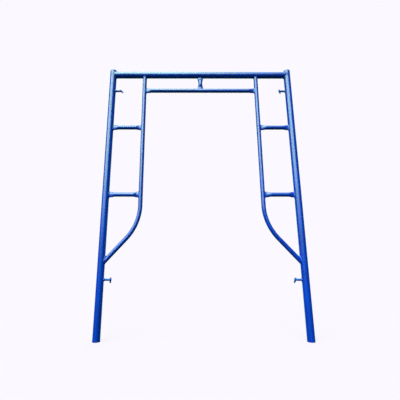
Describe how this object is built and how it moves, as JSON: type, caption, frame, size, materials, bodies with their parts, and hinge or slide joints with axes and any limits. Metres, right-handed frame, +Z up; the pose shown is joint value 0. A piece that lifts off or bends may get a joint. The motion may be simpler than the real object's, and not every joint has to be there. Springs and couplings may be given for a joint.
{
  "type": "frame scaffold section",
  "caption": "Walk-through scaffold frame: tubular legs under a header, bent inner legs with rungs, and brace studs with swinging gravity locks.",
  "frame": {"origin": "on the ground, midway between the two legs", "axes": "+Z up along the legs, +X from the left leg to the right leg, +Y through the frame; seen with +X to the right, the viewer looks along +Y"},
  "size_m": [1.2192, 0.0488, 1.7],
  "materials": {
    "tube_paint": "glossy dipped blue enamel, lightly scuffed",
    "weld_paint": "rippled weld under the same blue enamel",
    "stud_paint": "blue enamel rubbed thin by braces",
    "rivet_paint": "blue enamel worn on the head",
    "lock_paint": "blue enamel worn on the edges"
  },
  "bodies": {
    "frame": {"header": "tube_paint", "ledger": "tube_paint", "header_strut": "tube_paint", "leg_left": "tube_paint", "leg_right": "tube_paint", "inner_leg_left": "tube_paint", "inner_leg_right": "tube_paint", "rung_upper_left": "tube_paint", "rung_lower_left": "tube_paint", "rung_upper_right": "tube_paint", "rung_lower_right": "tube_paint", "brace_stud_upper_left": "stud_paint", "brace_stud_lower_left": "stud_paint", "brace_stud_upper_right": "stud_paint", "brace_stud_lower_right": "stud_paint", "lock_rivet_upper_left": "rivet_paint", "lock_rivet_lower_left": "rivet_paint", "lock_rivet_upper_right": "rivet_paint", "lock_rivet_lower_right": "rivet_paint", "weld_strut_top": "weld_paint", "weld_strut_foot": "weld_paint", "weld_header_left": "weld_paint", "weld_header_right": "weld_paint", "weld_inner_top_left": "weld_paint", "weld_inner_top_right": "weld_paint", "weld_inner_foot_left": "weld_paint", "weld_inner_foot_right": "weld_paint", "weld_ledger_left": "weld_paint", "weld_ledger_right": "weld_paint", "weld_rung_outer_upper_left": "weld_paint", "weld_rung_outer_lower_left": "weld_paint", "weld_rung_outer_upper_right": "weld_paint", "weld_rung_outer_lower_right": "weld_paint", "weld_rung_inner_upper_left": "weld_paint", "weld_rung_inner_lower_left": "weld_paint", "weld_rung_inner_upper_right": "weld_paint", "weld_rung_inner_lower_right": "weld_paint", "weld_stud_upper_left": "weld_paint", "weld_stud_lower_left": "weld_paint", "weld_stud_upper_right": "weld_paint", "weld_stud_lower_right": "weld_paint"},
    "lock_upper_left": {"lock_upper_left": "lock_paint"},
    "lock_lower_left": {"lock_lower_left": "lock_paint"},
    "lock_upper_right": {"lock_upper_right": "lock_paint"},
    "lock_lower_right": {"lock_lower_right": "lock_paint"}
  },
  "joints": [
    {"name": "lock_upper_left_swing", "type": "hinge", "parent": "frame", "child": "lock_upper_left", "pos_m": [-0.5292, 0, 1.5472], "axis": [0, -1, 0], "range_deg": [-93, 183]},
    {"name": "lock_lower_left_swing", "type": "hinge", "parent": "frame", "child": "lock_lower_left", "pos_m": [-0.5292, 0, 0.328], "axis": [0, -1, 0], "range_deg": [-48, 228]},
    {"name": "lock_upper_right_swing", "type": "hinge", "parent": "frame", "child": "lock_upper_right", "pos_m": [0.5292, 0, 1.5472], "axis": [0, 1, 0], "range_deg": [-36, 240]},
    {"name": "lock_lower_right_swing", "type": "hinge", "parent": "frame", "child": "lock_lower_right", "pos_m": [0.5292, 0, 0.328], "axis": [0, 1, 0], "range_deg": [-68, 208]}
  ]
}
